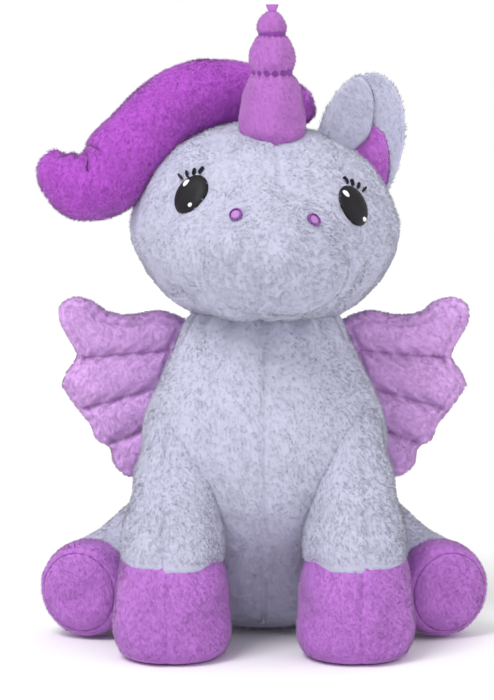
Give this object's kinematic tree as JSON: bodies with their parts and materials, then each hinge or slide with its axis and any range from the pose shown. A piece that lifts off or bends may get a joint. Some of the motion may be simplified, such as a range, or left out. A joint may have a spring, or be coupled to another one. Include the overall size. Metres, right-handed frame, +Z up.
{
  "type": "plush unicorn toy",
  "caption": "Seated stuffed unicorn in pale lavender pile with purple hooves, padded scalloped wings, a swept mane, a gathered cloth horn and embroidered eyes",
  "frame": {"origin": "middle of the bottom of the sitting toy, on the surface it sits on", "axes": "+Z up; the toy faces -Y; +X is the toy's own left side"},
  "size_m": [0.2266, 0.1774, 0.3197],
  "materials": {
    "lavender_pile": "short soft pile, pale lavender",
    "purple_pile": "soft pile, strong purple",
    "hoof_fabric": "short purple pile",
    "lining_fabric": "short purple pile",
    "horn_fabric": "smooth pale purple cloth",
    "black_thread": "satin stitch embroidery",
    "white_thread": "satin stitch embroidery",
    "purple_thread": "thread",
    "fibre_filling": "loose polyester fibre",
    "pouch_cotton": "plain woven cotton round dried flower heads and grain"
  },
  "bodies": {
    "torso": {"body_panel_left": "lavender_pile", "body_panel_right": "lavender_pile", "seat_panel": "lavender_pile", "body_filling": "fibre_filling", "scent_pouch": "pouch_cotton"},
    "head": {"head_panel_left": "lavender_pile", "head_panel_right": "lavender_pile", "muzzle_panel": "lavender_pile", "head_filling": "fibre_filling", "eye_left": "black_thread", "eye_right": "black_thread", "eye_glints_left": "white_thread", "eye_glints_right": "white_thread", "lashes_left": "black_thread", "lashes_right": "black_thread", "nostril_left": "purple_thread", "nostril_right": "purple_thread"},
    "horn": {"horn_cover": "horn_fabric", "horn_filling": "fibre_filling", "horn_threads": "purple_thread"},
    "mane": {"mane_cover": "purple_pile", "mane_filling": "fibre_filling"},
    "ear_left": {"ear_left_back": "lavender_pile", "ear_left_lining": "lining_fabric"},
    "ear_right": {"ear_right_back": "lavender_pile", "ear_right_lining": "lining_fabric"},
    "wing_left": {"wing_left_front": "purple_pile", "wing_left_back": "purple_pile", "wing_left_filling": "fibre_filling"},
    "wing_right": {"wing_right_front": "purple_pile", "wing_right_back": "purple_pile", "wing_right_filling": "fibre_filling"},
    "front_leg_left": {"front_leg_left_sleeve": "lavender_pile", "front_leg_left_hoof": "hoof_fabric", "front_leg_left_sole": "hoof_fabric", "front_leg_left_filling": "fibre_filling"},
    "front_leg_right": {"front_leg_right_sleeve": "lavender_pile", "front_leg_right_hoof": "hoof_fabric", "front_leg_right_sole": "hoof_fabric", "front_leg_right_filling": "fibre_filling"},
    "hind_leg_left": {"hind_leg_left_sleeve": "lavender_pile", "hind_leg_left_hoof": "hoof_fabric", "hind_leg_left_sole": "hoof_fabric", "hind_leg_left_filling": "fibre_filling"},
    "hind_leg_right": {"hind_leg_right_sleeve": "lavender_pile", "hind_leg_right_hoof": "hoof_fabric", "hind_leg_right_sole": "hoof_fabric", "hind_leg_right_filling": "fibre_filling"},
    "tail": {"tail_cover": "purple_pile", "tail_filling": "fibre_filling"}
  },
  "joints": [
    {"name": "neck_turn", "type": "hinge", "parent": "torso", "child": "head", "pos_m": [0, -0.02, 0.166], "axis": [0, 0, 1], "range_deg": [-15, 15], "stiffness_Nm_per_rad": 0.8},
    {"name": "horn_bend", "type": "hinge", "parent": "head", "child": "horn", "pos_m": [0.004, -0.036, 0.259], "axis": [1, 0, 0], "range_deg": [0, 10], "stiffness_Nm_per_rad": 0.15},
    {"name": "mane_lift", "type": "hinge", "parent": "head", "child": "mane", "pos_m": [0.017, 0.007, 0.256], "axis": [0, 1, 0], "range_deg": [0, 15], "stiffness_Nm_per_rad": 0.3},
    {"name": "ear_left_fold", "type": "hinge", "parent": "head", "child": "ear_left", "pos_m": [0.046, 0, 0.236], "axis": [0.9717, -0.0972, -0.2154], "range_deg": [-3, 8], "stiffness_Nm_per_rad": 0.05},
    {"name": "ear_right_fold", "type": "hinge", "parent": "head", "child": "ear_right", "pos_m": [-0.046, 0, 0.236], "axis": [0.9395, 0.2847, 0.1907], "range_deg": [0, 15], "stiffness_Nm_per_rad": 0.05},
    {"name": "wing_left_flap", "type": "hinge", "parent": "torso", "child": "wing_left", "pos_m": [0.0475, 0.003, 0.126], "axis": [-0.2629, 0, 0.9648], "range_deg": [-15, 15], "stiffness_Nm_per_rad": 0.1},
    {"name": "wing_right_flap", "type": "hinge", "parent": "torso", "child": "wing_right", "pos_m": [-0.0475, 0.003, 0.126], "axis": [-0.2629, 0, -0.9648], "range_deg": [-15, 15], "stiffness_Nm_per_rad": 0.1},
    {"name": "front_leg_left_swing", "type": "hinge", "parent": "torso", "child": "front_leg_left", "pos_m": [0.04, -0.034, 0.108], "axis": [-1, 0, 0], "range_deg": [0, 14], "stiffness_Nm_per_rad": 0.5},
    {"name": "front_leg_right_swing", "type": "hinge", "parent": "torso", "child": "front_leg_right", "pos_m": [-0.04, -0.034, 0.108], "axis": [-1, 0, 0], "range_deg": [0, 14], "stiffness_Nm_per_rad": 0.5},
    {"name": "hind_leg_left_lift", "type": "hinge", "parent": "torso", "child": "hind_leg_left", "pos_m": [0.042, 0.022, 0.044], "axis": [-0.5051, -0.8631, 0], "range_deg": [0, 18], "stiffness_Nm_per_rad": 0.6},
    {"name": "hind_leg_right_lift", "type": "hinge", "parent": "torso", "child": "hind_leg_right", "pos_m": [-0.042, 0.022, 0.044], "axis": [-0.5051, 0.8631, 0], "range_deg": [0, 18], "stiffness_Nm_per_rad": 0.6},
    {"name": "tail_lift", "type": "hinge", "parent": "torso", "child": "tail", "pos_m": [0, 0.056, 0.048], "axis": [1, 0, 0], "range_deg": [0, 25], "stiffness_Nm_per_rad": 0.05}
  ]
}
